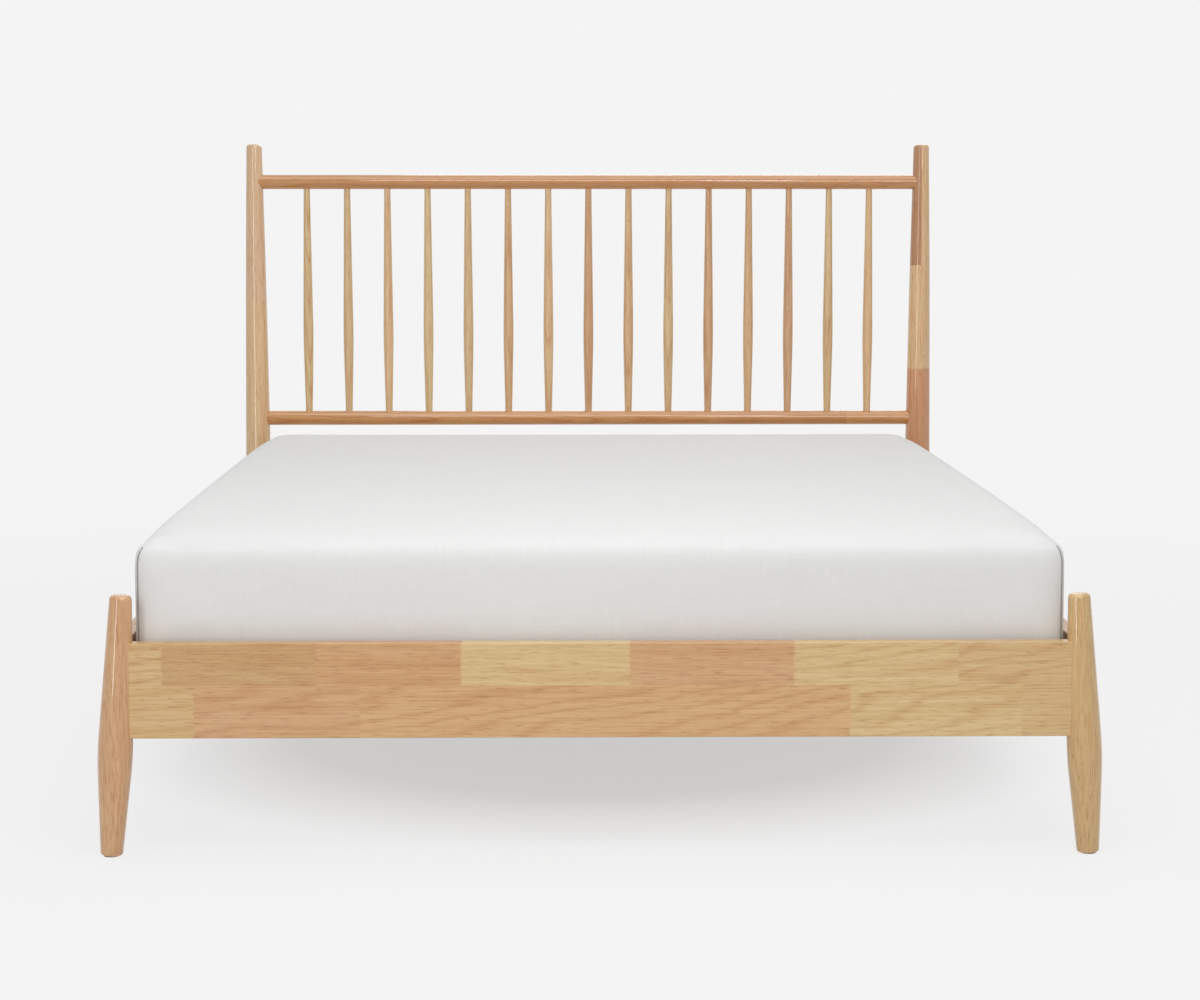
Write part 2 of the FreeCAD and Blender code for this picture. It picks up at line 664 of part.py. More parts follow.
half_wide, half_high = "dim.plate_wide / 2", "dim.plate_high / 2"
hook_plate = pattern_body("hook_plate")
plate = sketch_on(hook_plate, "XZ_Plane")
draw_box(plate, f"-{half_wide}", half_wide, f"-{half_high}", half_high)
extrude(hook_plate, "Pad", plate, "dim.plate_thick", reverse=True)
for number in range(int(value("dim.hook_count"))):
    low = f"(dim.hook_low + {number} * dim.hook_apart)"
    neck_low = f"{low} + dim.hook_lip + dim.hook_clear"
    lip_near = "-(dim.plate_thick + dim.hook_clear)"
    corners = [
        ("0", neck_low),
        (lip_near, neck_low),
        (lip_near, low),
        ("-dim.hook_reach", low),
        ("-dim.hook_reach", f"{low} + dim.hook_high - dim.hook_lip / 2"),
        ("-dim.hook_reach / 2", f"{low} + dim.hook_high"),
        ("0", f"{low} + dim.hook_high"),
    ]
    hook = sketch_on(hook_plate, "YZ_Plane")
    draw_outline(hook, corners[::-1])
    extrude(hook_plate, "Pad", hook, "dim.plate_thick", both_ways=True)

slotted_plate = pattern_body("slotted_plate")
plate = sketch_on(slotted_plate, "XZ_Plane")
draw_box(plate, f"-{half_wide}", half_wide, f"-{half_high}", half_high)
slot_half = "(dim.plate_thick / 2 + dim.hook_clear)"
for number in range(int(value("dim.hook_count"))):
    low = f"(dim.hook_low + {number} * dim.hook_apart)"
    draw_box(plate, f"-{slot_half}", slot_half, f"{low} + dim.hook_lip", f"{low} + {SLOT_TOP}")
extrude(slotted_plate, "Pad", plate, "dim.plate_thick")

plate_spots = []
for sign in SIDES.values():
    for end, towards in ENDS.items():
        line = FOOT_LINE if end == "foot" else HEAD_LINE
        y = f"{line} + {towards} * dim.{end}_seat"
        plate_spots.append((f"{sign} * dim.post_half_span", y, JOINT_HEIGHT, Z_AXIS, 90 - 90 * towards))
nodes.append(group("rail_hook_plates", hook_plate, plate_spots))
nodes.append(group("post_slot_plates", slotted_plate, plate_spots))


# Floor pads: felt discs stuck under the four posts.
pad = pattern_body("floor_pad")
section = sketch_on(pad, "XY_Plane")
draw_circle(section, "0", "0", "dim.pad_dia")
extrude(pad, "Pad", section, "dim.pad_thick")
foot_out = f"(dim.post_half_span + ({JOINT_HEIGHT} - dim.pad_thick) * tan(dim.foot_splay))"
spots = []
for sign in SIDES.values():
    spots.append((f"{sign} * {foot_out}", FOOT_LINE, "0", Z_AXIS, 0))
    spots.append((f"{sign} * dim.post_half_span", HEAD_LINE, "0", Z_AXIS, 0))
nodes.append(group("floor_pads", pad, spots))

# Mattress: a crowned pad. Each section of the loft is a rounded rectangle, given by how far it is
# drawn in from the fullest line and by its height, both as shares of the thickness.
MATTRESS_FORM = (
    (0.055, 0.0),
    (0.016, 0.05),
    (0.0, 0.35),
    (0.004, 0.70),
    (0.027, 0.84),
    (0.078, 0.915),
    (0.234, 0.958),
    (0.586, 0.984),
    (1.29, 1.0),
)
mattress_low = "(dim.ledge_top + dim.slat_thick + dim.mattress_clear)"
mattress = new_body("mattress", "0", BASE_MIDDLE, mattress_low)
half_wide = f"({INNER_HALF} - dim.mattress_side_gap)"
half_long = f"({INNER_LONG} / 2 - dim.mattress_end_gap)"
sections = []
for drawn_in, share in MATTRESS_FORM:
    section = sketch_on(mattress, "XY_Plane", lift=f"{share} * dim.mattress_thick")
    wide = f"({half_wide} - {drawn_in} * dim.mattress_thick)"
    deep = f"({half_long} - {drawn_in} * dim.mattress_thick)"
    draw_box(section, f"-{wide}", wide, f"-{deep}", deep, "dim.mattress_corner")
    sections.append(section)
loft = mattress.newObject("PartDesign::AdditiveLoft", "mattress_loft")
loft.Profile = sections[0]
loft.Sections = sections[1:]
loft.Ruled = True
nodes.append(mattress)

doc.recompute()
for item in doc.Objects:
    if "Invalid" in item.State or "Error" in item.State:
        raise RuntimeError(f"{item.Label} did not build: {item.State}")
for node in nodes:
    if node.Shape.isNull() or not node.Shape.isValid():
        raise RuntimeError(f"{node.Label} has no valid shape")

os.makedirs("parts", exist_ok=True)
for node in nodes:
    node.Shape.exportStep(f"parts/{node.Label}.step")
print(len(nodes), "nodes written")
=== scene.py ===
import math

import bmesh
import bpy
from mathutils import Matrix, Vector
from mathutils.bvhtree import BVHTree


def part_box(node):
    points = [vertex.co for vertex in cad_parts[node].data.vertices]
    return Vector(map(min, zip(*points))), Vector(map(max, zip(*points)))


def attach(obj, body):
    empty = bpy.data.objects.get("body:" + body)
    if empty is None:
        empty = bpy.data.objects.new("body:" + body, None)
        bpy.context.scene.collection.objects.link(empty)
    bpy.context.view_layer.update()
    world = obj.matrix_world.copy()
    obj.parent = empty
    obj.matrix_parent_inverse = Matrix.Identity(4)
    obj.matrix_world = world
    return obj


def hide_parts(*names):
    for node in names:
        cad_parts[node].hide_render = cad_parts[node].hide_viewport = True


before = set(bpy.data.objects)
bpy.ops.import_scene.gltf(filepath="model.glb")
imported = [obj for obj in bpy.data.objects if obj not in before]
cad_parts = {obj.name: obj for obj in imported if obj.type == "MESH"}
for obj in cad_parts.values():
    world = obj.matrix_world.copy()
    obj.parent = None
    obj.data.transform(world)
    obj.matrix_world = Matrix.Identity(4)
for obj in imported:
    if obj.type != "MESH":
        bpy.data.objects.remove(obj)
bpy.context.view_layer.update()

# The camera stands a little left of the middle and looks slightly down at the foot of the bed.
# It is set up first, so that every piece below can be judged from the photograph's place.
SENSOR_WIDTH = 36
FOCAL_LENGTH = 79.75
EYE = (-0.0639, -5.3555, 1.0733)
TILT_DOWN = 6.375
TURN_RIGHT = 0.823
camera = bpy.data.objects.new("camera", bpy.data.cameras.new("camera"))
bpy.context.scene.collection.objects.link(camera)
bpy.context.scene.camera = camera
camera.data.sensor_width = SENSOR_WIDTH
camera.data.lens = FOCAL_LENGTH
camera.location = EYE
camera.rotation_euler = (math.radians(90 - TILT_DOWN), 0, math.radians(-TURN_RIGHT))


# Posts: four solid turnings of rubberwood under a clear satin lacquer. Each blank is glued up from
# shorter lengths, end to end with finger joints, then turned with a soft knee above its foot and a
# long taper to a rounded top. The two at the foot of the bed lean outwards at the floor.
class Socket:
    """A socket of a material's nodes. Arithmetic on it adds Math nodes, and node() adds any other."""

    def __init__(self, tree, socket=None):
        self.tree = tree
        self.socket = socket

    def node(self, kind, inputs=None, out=0, stops=None, **settings):
        """Adds a node, gives it its settings and a ramp's stops, and then its values and links."""
        made = self.tree.nodes.new(f"ShaderNode{kind}")
        for name, setting in settings.items():
            setattr(made, name, setting)
        if stops:
            ramp = made.color_ramp
            ramp.interpolation = "CONSTANT"
            for number, (position, colour) in enumerate(stops):
                stop = ramp.elements[number] if number < 2 else ramp.elements.new(position)
                stop.position = position
                stop.color = (*colour, 1)
        for key, given in (inputs or {}).items():
            if isinstance(given, Socket):
                self.tree.links.new(given.socket, made.inputs[key])
            else:
                made.inputs[key].default_value = given
        return Socket(self.tree, made.outputs[out])

    def maths(self, operation, first, second=0.0):
        """Adds a Math node."""
        return self.node("Math", {0: first, 1: second}, operation=operation)

    def __add__(self, other):
        return self.maths("ADD", self, other)

    def __radd__(self, other):
        return self.maths("ADD", other, self)

    def __sub__(self, other):
        return self.maths("SUBTRACT", self, other)

    def __rsub__(self, other):
        return self.maths("SUBTRACT", other, self)

    def __mul__(self, other):
        return self.maths("MULTIPLY", self, other)

    def __rmul__(self, other):
        return self.maths("MULTIPLY", other, self)

    def __truediv__(self, other):
        return self.maths("DIVIDE", self, other)

    def __rtruediv__(self, other):
        return self.maths("DIVIDE", other, self)

    def __pow__(self, other):
        return self.maths("POWER", self, other)

    def __gt__(self, other):
        return self.maths("GREATER_THAN", self, other)

    def __lt__(self, other):
        return self.maths("LESS_THAN", self, other)


APRICOT = (0.69, 0.42, 0.21)
AMBER = (0.67, 0.455, 0.20)
CREAM = (0.79, 0.555, 0.30)
RUSSET = (0.67, 0.335, 0.158)
BLUSH = (0.78, 0.54, 0.33)
UMBER = (0.52, 0.275, 0.12)
LATE_WOOD = (0.82, 0.64, 0.53)
STREAK = (0.86, 0.74, 0.62)
BROAD_BAND = (0.93, 0.85, 0.77)
PORE = (0.70, 0.53, 0.42)
RING_PITCH = 0.0082
RING_DRIFT = 0.042
RING_FRAY = 0.0016
PITH_LEAN = 0.16
PITH_DEPTH = 0.02
PITH_SPREAD_ACROSS = 0.05
PITH_SPREAD_UP = 0.07
DRIFT_STRETCH = 0.2
STREAK_STRETCH = 0.016
PORE_STRETCH = 0.07
WOOD_SPECULAR = 0.1
COAT_IOR = 1.7
COAT_ROUGHNESS = 0.05


def mixed(factor, first, second, way="MIX"):
    """Two colours mixed by a socket's value."""
    inputs = {"Factor": factor, "A": first, "B": second}
    made = factor.tree.nodes.new("ShaderNodeMix")
    made.data_type = "RGBA"
    made.blend_type = way
    for key, index in (("Factor", 0), ("A", 6), ("B", 7)):
        if isinstance(inputs[key], Socket):
            factor.tree.links.new(inputs[key].socket, made.inputs[index])
        else:
            made.inputs[index].default_value = (*inputs[key], 1)
    return Socket(factor.tree, made.outputs[2])


def ranged(value, low, high, to_low=0.0, to_high=1.0):
    """A value stretched from one range to another, and held at its ends."""
    bounds = {"From Min": low, "From Max": high, "To Min": to_low, "To Max": to_high}
    return value.node("MapRange", {"Value": value, **bounds})


def rubberwood(name, along, stave_at, tones, gloss=0.45, coat=0.5, rings=1.0):
    """Wood with its grain along one axis, under lacquer unless coat is 0. stave_at numbers the
    stave at a place, and each number takes its own tone and its own figure."""
    material = bpy.data.materials.new(name)
    material.use_nodes = True
    tree = material.node_tree
    place = Socket(tree).node("TexCoord", out="Object")
    spot = {axis: place.node("SeparateXYZ", {0: place}, out=axis) for axis in "XYZ"}
    across, up = (spot[axis] for axis in "XYZ" if axis != along)
    run = spot[along]

    stave = stave_at(spot["X"], spot["Y"], spot["Z"])
    chance = stave.node("TexWhiteNoise", {"W": stave * 1.37 + 0.2}, noise_dimensions="1D")
    other = stave.node("TexWhiteNoise", {"W": stave * 2.11 + 5.7}, noise_dimensions="1D")
    stops = [(number / len(tones), tone) for number, tone in enumerate(tones)]
    tone = stave.node("ValToRGB", {0: (stave + 0.5) / len(tones)}, stops=stops)

    shift = chance * 9.0
    slow = place.node("CombineXYZ", {0: across + shift, 1: up - shift, 2: run * DRIFT_STRETCH + shift})
    drift = place.node("TexNoise", {"Vector": slow, "Scale": 11.0, "Detail": 3.0})
    drawn = place.node("CombineXYZ", {0: across + shift, 1: up - shift, 2: run * STREAK_STRETCH + shift})
    streak = place.node("TexNoise", {"Vector": drawn, "Scale": 400.0, "Detail": 3.0, "Roughness": 0.6})
    band = place.node("TexNoise", {"Vector": drawn, "Scale": 46.0, "Detail": 2.0})
    thread = place.node("CombineXYZ", {0: across, 1: up, 2: run * PORE_STRETCH})
    pores = place.node("TexNoise", {"Vector": thread, "Scale": 480.0, "Detail": 2.0})

    # growth rings round a pith that lies off the stave and leans a little along it
    lean = (other - 0.5) * PITH_LEAN
    off_across = across + (chance - 0.5) * PITH_SPREAD_ACROSS + run * lean
    off_up = up + PITH_DEPTH + other * PITH_SPREAD_UP - run * lean * 0.6
    radius = (off_across ** 2.0 + off_up ** 2.0) ** 0.5
    radius = radius + (drift - 0.5) * RING_DRIFT + (streak - 0.5) * RING_FRAY
    wave = radius.maths("SINE", radius * (2 * math.pi / RING_PITCH))
    late = (wave * 0.5 + 0.5) ** 4.0
    figure = late * (0.15 + other * 0.7) * rings
    pore_mask = ranged(pores, 0.57, 0.68)
    streak_mask = ranged(streak, 0.4, 0.66)
    broad = ranged(band, 0.32, 0.68)

    colour = mixed(figure, tone, LATE_WOOD, "MULTIPLY")
    colour = mixed(streak_mask * 0.75, colour, STREAK, "MULTIPLY")
    colour = mixed(broad * 0.7, colour, BROAD_BAND, "MULTIPLY")
    colour = mixed(pore_mask * 0.6, colour, PORE, "MULTIPLY")

    shader = tree.nodes["Principled BSDF"]
    tree.links.new(colour.socket, shader.inputs["Base Color"])
    rough = gloss + streak_mask * 0.07 + pore_mask * 0.08
    tree.links.new(rough.socket, shader.inputs["Roughness"])
    height = 1.0 - pore_mask * 0.7 - streak_mask * 0.3
    bump = place.node("Bump", {"Height": height, "Strength": 0.25, "Distance": 0.0002})
    tree.links.new(bump.socket, shader.inputs["Normal"])
    shader.inputs["Specular IOR Level"].default_value = WOOD_SPECULAR
    shader.inputs["Coat Weight"].default_value = coat
    shader.inputs["Coat IOR"].default_value = COAT_IOR
    shader.inputs["Coat Roughness"].default_value = COAT_ROUGHNESS
    return material


FLOOR_ROUND_STEPS = 4
BLEND_STEPS = 8
TOP_ROUND_STEPS = 6


def turned(name, material, rings, top_round, floor_round, sides=64):
    """A turning about the upright axis through rings of height, diameter and length of blend."""
    profile = []
    low_half = rings[0][1] / 2
    for step in range(FLOOR_ROUND_STEPS + 1):
        angle = math.pi / 2 * step / FLOOR_ROUND_STEPS
        inset = floor_round * (1 - math.sin(angle))
        profile.append((low_half - inset, rings[0][0] + floor_round * (1 - math.cos(angle))))
    for before, ring, after in zip(rings, rings[1:], rings[2:]):
        corner = Vector((ring[1] / 2, ring[0]))
        back = (Vector((before[1] / 2, before[0])) - corner).normalized() * ring[2]
        ahead = (Vector((after[1] / 2, after[0])) - corner).normalized() * ring[2]
        for step in range(BLEND_STEPS + 1):
            share = step / BLEND_STEPS
            bend = back * (1 - share) ** 2 + ahead * share ** 2
            profile.append(tuple(corner + bend))
    top_half = rings[-1][1] / 2
    for step in range(TOP_ROUND_STEPS + 1):
        angle = math.pi / 2 * step / TOP_ROUND_STEPS
        inset = top_round * (1 - math.cos(angle))
        profile.append((top_half - inset, rings[-1][0] - top_round * (1 - math.sin(angle))))
    return lathe(name, material, [(0, rings[0][0]), *profile, (0, rings[-1][0])], sides)


def lathe(name, material, profile, sides):
    """A full turn of a profile of half widths and heights about the upright axis."""
    mesh = bmesh.new()
    verts = [mesh.verts.new((half, 0, height)) for half, height in profile]
    edges = [mesh.edges.new(pair) for pair in zip(verts, verts[1:])]
    bmesh.ops.spin(
        mesh,
        geom=verts + edges,
        axis=(0, 0, 1),
        cent=(0, 0, 0),
        angle=2 * math.pi,
        steps=sides,
        use_merge=True,
    )
    bmesh.ops.remove_doubles(mesh, verts=mesh.verts, dist=1e-6)
    bmesh.ops.recalc_face_normals(mesh, faces=mesh.faces)
    return finished(name, mesh, material, smooth=True)


SHARP_EDGE = math.radians(40)


def finished(name, mesh, material, smooth=False):
    """Makes an object of a bmesh, with its place in its mesh."""
    data = bpy.data.meshes.new(name)
    for face in mesh.faces:
        face.smooth = smooth
    mesh.to_mesh(data)
    mesh.free()
    if smooth:
        data.set_sharp_from_angle(angle=SHARP_EDGE)
    piece = bpy.data.objects.new(name, data)
    bpy.context.scene.collection.objects.link(piece)
    data.materials.append(material)
    return piece


def moved(piece, matrix):
    """Moves or turns a piece within its mesh."""
    piece.data.transform(matrix)
    return piece


rail_low, rail_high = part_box("foot_rail")
joint_height = (rail_low.z + rail_high.z) / 2
head_low, head_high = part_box("head_post_left")
post_x = -(head_low.x + head_high.x) / 2
head_y = (head_low.y + head_high.y) / 2
foot_low, foot_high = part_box("foot_post_left")
foot_y = (foot_low.y + foot_high.y) / 2
LEFT_JOINT = 0.84
RIGHT_JOINT = 0.681
RIGHT_HALF_JOINT = 0.925
POST_FINGER_HALF = 0.0025
POST_FINGER_DEPTH = 0.006


def fingers(across, half_width, depth):
    """How far the teeth of a finger joint reach at a place across it."""
    return across.maths("PINGPONG", across, half_width) * (depth / half_width)


def post_stave(x, y, z):
    """Foot posts are of one length. The head posts have a finger joint each, at its own height, and
    the right one a half stave more."""
    tooth = fingers(x, POST_FINGER_HALF, POST_FINGER_DEPTH)
    right = x > 0.0
    head = y > 0.0
    above_left = (z + tooth > LEFT_JOINT) * (1.0 - right)
    above_right = (z + tooth > RIGHT_JOINT) * right
    half = (x < post_x) * (z > RIGHT_HALF_JOINT)
    return right + head * (2.0 + above_left * 2.0 + above_right * 2.0 + half * above_right)


post_wood = rubberwood(
    "post_rubberwood",
    "Z",
    post_stave,
    [APRICOT, AMBER, CREAM, RUSSET, BLUSH, CREAM, UMBER],
    gloss=0.38,
    coat=1.0,
    rings=0.45,
)
PAD_THICK = 0.0025
POST_TOP_ROUND = 0.008
POST_FLOOR_ROUND = 0.0045
FOOT_RINGS = [
    (0.0013, 0.0375, 0),
    (0.168, 0.0593, 0.032),
    (0.4360, 0.0370, 0),
]
HEAD_RINGS = [
    (PAD_THICK, 0.039, 0),
    (0.175, 0.0595, 0.030),
    (0.430, 0.0606, 0.058),
    (0.900, 0.0489, 0.150),
    (1.212, 0.0369, 0),
]
FOOT_SPLAY = math.radians(3.05)
posts = {}
for side, sign in (("left", -1), ("right", 1)):
    post = turned(f"foot_post_{side}_turned", post_wood, FOOT_RINGS, POST_TOP_ROUND, POST_FLOOR_ROUND)
    moved(post, Matrix.Translation((0, 0, -joint_height)))
    moved(post, Matrix.Rotation(-sign * FOOT_SPLAY, 4, "Y"))
    moved(post, Matrix.Translation((sign * post_x, foot_y, joint_height)))
    posts[f"foot_post_{side}"] = post
    post = turned(f"head_post_{side}_turned", post_wood, HEAD_RINGS, POST_TOP_ROUND, POST_FLOOR_ROUND)
    moved(post, Matrix.Translation((sign * post_x, head_y, 0)))
    posts[f"head_post_{side}"] = post
for node, post in posts.items():
    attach(post, "frame")
    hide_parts(node)


# Headboard bars: two straight dowels of the same wood between the head posts. Their ends are
# scribed to the round of the posts and held there by turned tenons.
CARAMEL = (0.645, 0.325, 0.10)
COPPER = (0.60, 0.29, 0.092)
LOWER_BAR_JOINT = 0.31
TOP_BAR_JOINT = -0.24
FAR_BAR_JOINT = 0.62
BAR_END_GAP = 0.002
top_bar_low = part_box("headboard_top_bar")[0].z
lower_bar_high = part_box("headboard_lower_bar")[1].z


def bar_stave(x, y, z):
    """Each bar is glued up from three lengths, and its first joint has its own place."""
    upper = z > (top_bar_low + lower_bar_high) / 2
    near_joint = LOWER_BAR_JOINT + upper * (TOP_BAR_JOINT - LOWER_BAR_JOINT)
    return upper * 3.0 + (x > near_joint) + (x > FAR_BAR_JOINT)


bar_wood = rubberwood(
    "bar_rubberwood",
    "X",
    bar_stave,
    [CARAMEL, COPPER, CARAMEL, COPPER, COPPER, COPPER],
    gloss=0.38,
    coat=1.0,
)
for node in ("headboard_top_bar", "headboard_lower_bar"):
    low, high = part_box(node)
    mesh = bmesh.new()
    radius = (high.z - low.z) / 2
    bmesh.ops.create_cone(
        mesh,
        cap_ends=True,
        segments=64,
        radius1=radius,
        radius2=radius,
        depth=2 * (post_x - BAR_END_GAP),
    )
    bmesh.ops.rotate(mesh, verts=mesh.verts, matrix=Matrix.Rotation(math.pi / 2, 3, "Y"))
    bmesh.ops.translate(mesh, verts=mesh.verts, vec=(low + high) / 2)
    bar = finished(f"{node}_round", mesh, bar_wood, smooth=True)
    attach(bar, "frame")
    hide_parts(node)


# Spindles: fifteen slim turnings between the bars, fullest two thirds of the way down, each with
# its ends glued into sockets in the bars.
STRAW = (0.76, 0.58, 0.30)
HONEY = (0.73, 0.53, 0.275)
PEACH = (0.73, 0.48, 0.24)
ROSE = (0.70, 0.44, 0.235)
SPINDLE_TOP_DIA = 0.015
SPINDLE_BELLY_DIA = 0.0248
SPINDLE_LOW_DIA = 0.0166
BELLY_DROP = 0.352
BELLY_BLEND = 0.046
SHOULDER_BLEND = 0.006
SPINDLE_END_ROUND = 0.001
SPINDLE_COUNT = 15
spindle_pitch = (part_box("spindle_15")[0].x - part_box("spindle_01")[0].x) / (SPINDLE_COUNT - 1)


def spindle_stave(x, y, z):
    """Each spindle is one length of wood with its own tone."""
    return x.maths("FLOOR", x / spindle_pitch + SPINDLE_COUNT / 2)


spindle_wood = rubberwood(
    "spindle_rubberwood",
    "Z",
    spindle_stave,
    [STRAW, HONEY, CREAM, STRAW, HONEY, PEACH, CREAM, APRICOT]
    + [PEACH, HONEY, APRICOT, PEACH, ROSE, HONEY, CREAM],
    gloss=0.36,
    coat=1.0,
)
for number in range(1, SPINDLE_COUNT + 1):
    node = f"spindle_{number:02d}"
    low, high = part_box(node)
    rings = [
        (low.z, SPINDLE_LOW_DIA, 0),
        (lower_bar_high, SPINDLE_LOW_DIA, SHOULDER_BLEND),
        (top_bar_low - BELLY_DROP, SPINDLE_BELLY_DIA, BELLY_BLEND),
        (top_bar_low, SPINDLE_TOP_DIA, SHOULDER_BLEND),
        (high.z, SPINDLE_TOP_DIA, 0),
    ]
    spindle = turned(
        f"{node}_turned", spindle_wood, rings, SPINDLE_END_ROUND, SPINDLE_END_ROUND, sides=32
    )
    moved(spindle, Matrix.Translation(((low.x + high.x) / 2, (low.y + high.y) / 2, 0)))
    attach(spindle, "frame")
    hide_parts(node)


# Rails: four boards, each glued up from two rows of staves that are finger-jointed end to end, and
# planed with a small round on the long edges. They are let into the posts.
TAN = (0.65, 0.42, 0.205)
ARRIS = 0.002
GLUE_LINE = 0.286
RAIL_FINGER_HALF = 0.0021
RAIL_FINGER_DEPTH = 0.00546
RAIL_FINGER_BACK = 0.0025
FOOT_RAIL_UPPER = [-0.72, -0.467, -0.23, 0.047, 0.317, 0.588]
FOOT_RAIL_LOWER = [-0.669, -0.396, 0.41, 0.693]
HEAD_RAIL_UPPER = [-0.6, -0.22, 0.1, 0.5]
HEAD_RAIL_LOWER = [-0.42, 0.0, 0.37, 0.66]
SIDE_RAIL_UPPER = [-0.78, -0.35, 0.05, 0.4, 0.8]
SIDE_RAIL_LOWER = [-0.6, -0.18, 0.28, 0.66]


def board(name, material, low, high, arris=ARRIS):
    """A board between two corners with rounded edges."""
    mesh = bmesh.new()
    bmesh.ops.create_cube(mesh, size=1)
    bmesh.ops.scale(mesh, verts=mesh.verts, vec=high - low)
    bmesh.ops.translate(mesh, verts=mesh.verts, vec=(low + high) / 2)
    bmesh.ops.bevel(
        mesh, geom=mesh.edges[:], offset=arris, segments=3, profile=0.5, affect="EDGES", material=-1
    )
    return finished(name, mesh, material)


def staves(run, z, upper_joints, lower_joints):
    """Numbers the staves of a board of two rows, each with its finger joints along the board."""
    place = run + fingers(z, RAIL_FINGER_HALF, RAIL_FINGER_DEPTH) - RAIL_FINGER_BACK
    above = z > GLUE_LINE
    upper = sum((place > joint for joint in upper_joints[1:]), place > upper_joints[0])
    lower = sum((place > joint for joint in lower_joints[1:]), place > lower_joints[0])
    return above * upper + (1.0 - above) * (lower + len(upper_joints) + 1.0)


foot_rail_wood = rubberwood(
    "foot_rail_rubberwood",
    "X",
    lambda x, y, z: staves(x, z, FOOT_RAIL_UPPER, FOOT_RAIL_LOWER),
    [HONEY, TAN, APRICOT, STRAW, ROSE, STRAW, HONEY, HONEY, ROSE, PEACH, STRAW, HONEY],
    rings=0.6,
)
head_rail_wood = rubberwood(
    "head_rail_rubberwood",
    "X",
    lambda x, y, z: staves(x, z, HEAD_RAIL_UPPER, HEAD_RAIL_LOWER),
    [TAN, APRICOT, HONEY, ROSE, TAN, HONEY, TAN, STRAW, APRICOT, TAN],
    rings=0.6,
)
side_rail_wood = rubberwood(
    "side_rail_rubberwood",
    "Y",
    lambda x, y, z: staves(y, z, SIDE_RAIL_UPPER, SIDE_RAIL_LOWER),
    [TAN, HONEY, APRICOT, STRAW, TAN, ROSE, HONEY, TAN, STRAW, APRICOT, TAN],
    rings=0.6,
)
rail_woods = {
    "foot_rail": foot_rail_wood,
    "head_rail": head_rail_wood,
    "side_rail_left": side_rail_wood,
    "side_rail_right": side_rail_wood,
}
for node, wood in rail_woods.items():
    low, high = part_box(node)
    rail = board(f"{node}_board", wood, low, high)
    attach(rail, "frame")
    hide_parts(node)


# Slatted base: ledges screwed to the side rails, slats laid across them, and a beam on edge under
# the middle. All of it is plain planed softwood with no lacquer.
PINE = (0.74, 0.60, 0.41)
PINE_WARM = (0.70, 0.53, 0.34)
PINE_PALE = (0.78, 0.65, 0.46)
BARE_GLOSS = 0.6
SLAT_COUNT = 14
SLAT_ARRIS = 0.003
slat_pitch = (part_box("slat_14")[0].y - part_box("slat_01")[0].y) / (SLAT_COUNT - 1)
slat_wood = rubberwood(
    "slat_softwood",
    "X",
    lambda x, y, z: x.maths("FLOOR", y / slat_pitch + SLAT_COUNT / 2),
    [PINE, PINE_PALE, PINE_WARM, PINE, PINE_PALE, PINE, PINE_WARM] * 2,
    gloss=BARE_GLOSS,
    coat=0,
)
for number in range(1, SLAT_COUNT + 1):
    node = f"slat_{number:02d}"
    low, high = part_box(node)
    slat = board(f"{node}_board", slat_wood, low, high, arris=SLAT_ARRIS)
    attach(slat, "frame")
    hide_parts(node)
BATTEN_SPLIT = 0.4
base_wood = rubberwood(
    "base_softwood",
    "Y",
    lambda x, y, z: (x > -BATTEN_SPLIT) + (x > BATTEN_SPLIT),
    [PINE, PINE_WARM, PINE_PALE],
    gloss=BARE_GLOSS,
    coat=0,
)
for node in ("slat_ledge_left", "slat_ledge_right", "centre_beam"):
    low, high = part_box(node)
    batten = board(f"{node}_board", base_wood, low, high)
    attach(batten, "frame")
    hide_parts(node)


# Steel: the saddles that hang the beam, the bolt of the centre leg, and the hooked and slotted
# plates of the corners. It is bright zinc plate with a fine brushed tooth.
ZINC_DULL = (0.60, 0.60, 0.58)
ZINC_BRIGHT = (0.74, 0.73, 0.70)


def zinc(name):
    """Zinc plate that clouds a little, with a fine tooth in its gloss."""
    material = bpy.data.materials.new(name)
    material.use_nodes = True
    tree = material.node_tree
    place = Socket(tree).node("TexCoord", out="Object")
    cloud = place.node("TexNoise", {"Vector": place, "Scale": 60.0, "Detail": 4.0})
    brushed = place.node("TexNoise", {"Vector": place, "Scale": 900.0, "Detail": 2.0})
    shader = tree.nodes["Principled BSDF"]
    colour = mixed(cloud, ZINC_DULL, ZINC_BRIGHT)
    tree.links.new(colour.socket, shader.inputs["Base Color"])
    rough = 0.28 + cloud * 0.16 + brushed * 0.06
    tree.links.new(rough.socket, shader.inputs["Roughness"])
    shader.inputs["Metallic"].default_value = 1
    return material


zinc_plate = zinc("zinc_plate")
for node in (
    "beam_saddle_foot",
    "beam_saddle_head",
    "centre_leg_bolt",
    "rail_hook_plates",
    "post_slot_plates",
):
    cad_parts[node].data.materials.clear()
    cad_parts[node].data.materials.append(zinc_plate)


# Screws: countersunk wood screws of the same plated steel, two through the ends of each slat, seven
# along each ledge and two in each saddle. Their heads stand a hair proud of what they hold.
SHANK_HALF = 0.0024
HEAD_HALF = 0.0038
HEAD_DEPTH = 0.0024
HEAD_SUNK = 0.0010
RECESS_INSET = 0.0018
RECESS_DEPTH = 0.0011
LOBE_PINCH = 0.72
LEDGE_SCREWS = 7
SADDLE_PLATE = 0.0025
SADDLE_SCREW_SPREAD = 0.0308
head_mesh = bmesh.new()
bmesh.ops.create_cone(
    head_mesh, cap_ends=True, segments=24, radius1=SHANK_HALF, radius2=HEAD_HALF, depth=HEAD_DEPTH
)
bmesh.ops.translate(head_mesh, verts=head_mesh.verts, vec=(0, 0, -HEAD_SUNK))
top = max(head_mesh.faces, key=lambda face: face.calc_center_median().z)
bmesh.ops.inset_region(head_mesh, faces=[top], thickness=RECESS_INSET)
for number, vert in enumerate(top.verts):
    if number // 2 % 2:
        vert.co = Vector((vert.co.x * LOBE_PINCH, vert.co.y * LOBE_PINCH, vert.co.z))
